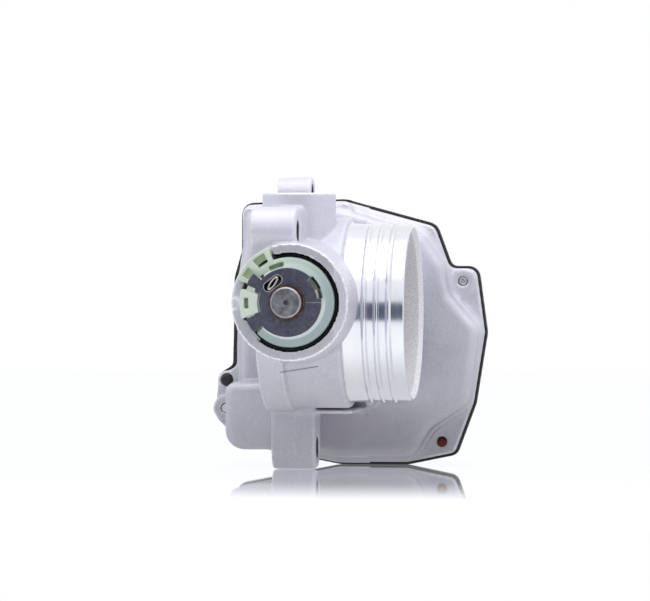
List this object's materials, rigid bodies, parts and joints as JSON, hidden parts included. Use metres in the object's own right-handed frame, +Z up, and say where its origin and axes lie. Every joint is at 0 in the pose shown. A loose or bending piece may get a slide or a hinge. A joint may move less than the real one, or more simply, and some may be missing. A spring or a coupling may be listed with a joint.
{
  "type": "electronic throttle body",
  "caption": "Drive-by-wire throttle body: cast duct with butterfly plate, beaded hose spigot, spring boss and a geared motor case under a moulded cover.",
  "frame": {"origin": "axis of the throttle bore in the plane of the manifold face", "axes": "+X along the duct from the manifold face to the hose spigot, +Z up, throttle shaft along Y with the gear case at +Y"},
  "size_m": [0.0929, 0.131, 0.0971],
  "materials": {
    "cast_aluminium": "sand-cast and blasted, hose spigot turned bright",
    "cover_plastic": "glass-filled black moulding",
    "seal_rubber": "matte black",
    "shaft_steel": "ground steel, dull",
    "plate_brass": "satin",
    "screw_zinc": "zinc plated",
    "bearing_steel": "polished",
    "cage_plastic": "brown polyamide",
    "blued_steel": "dark rolled sheet",
    "bush_bronze": "sintered, brown",
    "sleeve_plastic": "pale green, slightly translucent",
    "hook_wire": "bright drawn wire",
    "spring_steel": "black oiled wire",
    "lever_steel": "stamped sheet",
    "gear_plastic": "natural acetal",
    "axle_steel": "ground",
    "pinion_brass": "hobbed",
    "can_steel": "zinc plated, drawn",
    "ferrite": "dark grey ferrite",
    "lamination": "stacked steel laminations",
    "copper": "copper bars",
    "end_cap_plastic": "black moulding",
    "carbon": "pressed carbon",
    "tinned": "tinned copper",
    "carrier_plastic": "black moulding",
    "board": "glass epoxy, green",
    "chip": "moulded package"
  },
  "bodies": {
    "root": {"throttle_housing": "cast_aluminium", "gear_cover": "cover_plastic", "cover_seal": "seal_rubber", "front_shaft_seal": "seal_rubber", "rear_shaft_seal": "seal_rubber", "cover_screws": "screw_zinc", "needle_cup": "bearing_steel", "needle_rollers": "bearing_steel", "ball_bearing_outer_ring": "bearing_steel", "ball_bearing_balls": "bearing_steel", "ball_bearing_cage": "cage_plastic", "retaining_plate": "blued_steel", "bronze_bush": "bush_bronze", "motor_front_bush": "bush_bronze", "motor_rear_bush": "bush_bronze", "spring_sleeve": "sleeve_plastic", "spring_hook": "hook_wire", "return_spring": "spring_steel", "intermediate_axle": "axle_steel", "motor_can": "can_steel", "motor_magnets": "ferrite", "motor_end_cap": "end_cap_plastic", "motor_brushes": "carbon", "motor_terminals": "tinned", "connector_pins": "tinned", "sensor_board": "board", "sensor_chip": "chip"},
    "shaft": {"throttle_shaft": "shaft_steel", "throttle_plate": "plate_brass", "plate_screws": "screw_zinc", "ball_bearing_inner_ring": "bearing_steel", "spring_lever": "lever_steel", "sector_gear": "gear_plastic", "magnet_carrier": "carrier_plastic", "sensor_magnet": "ferrite"},
    "idler": {"intermediate_gear": "gear_plastic"},
    "rotor": {"motor_shaft": "axle_steel", "motor_armature": "lamination", "motor_commutator": "copper", "motor_pinion": "pinion_brass"}
  },
  "joints": [
    {"name": "throttle", "type": "hinge", "parent": "root", "child": "shaft", "pos_m": [0.013, 0, 0], "axis": [0, 1, 0], "range_deg": [0, 83], "stiffness_Nm_per_rad": 0.15, "springref_deg": -28.65, "deforming": ["return_spring"]},
    {"name": "idler_spin", "type": "hinge", "parent": "root", "child": "idler", "pos_m": [0.00895, 0.045, -0.02669], "axis": [0, 1, 0], "range_deg": [-291, 0.5]},
    {"name": "rotor_spin", "type": "hinge", "parent": "root", "child": "rotor", "pos_m": [-0.0056, 0.03, -0.0386], "axis": [0, 1, 0], "range_deg": [-0.5, 951]}
  ],
  "couplings": [
    {"joint": "idler_spin", "follows": "throttle", "ratio": -3.5},
    {"joint": "rotor_spin", "follows": "throttle", "ratio": 11.455}
  ]
}
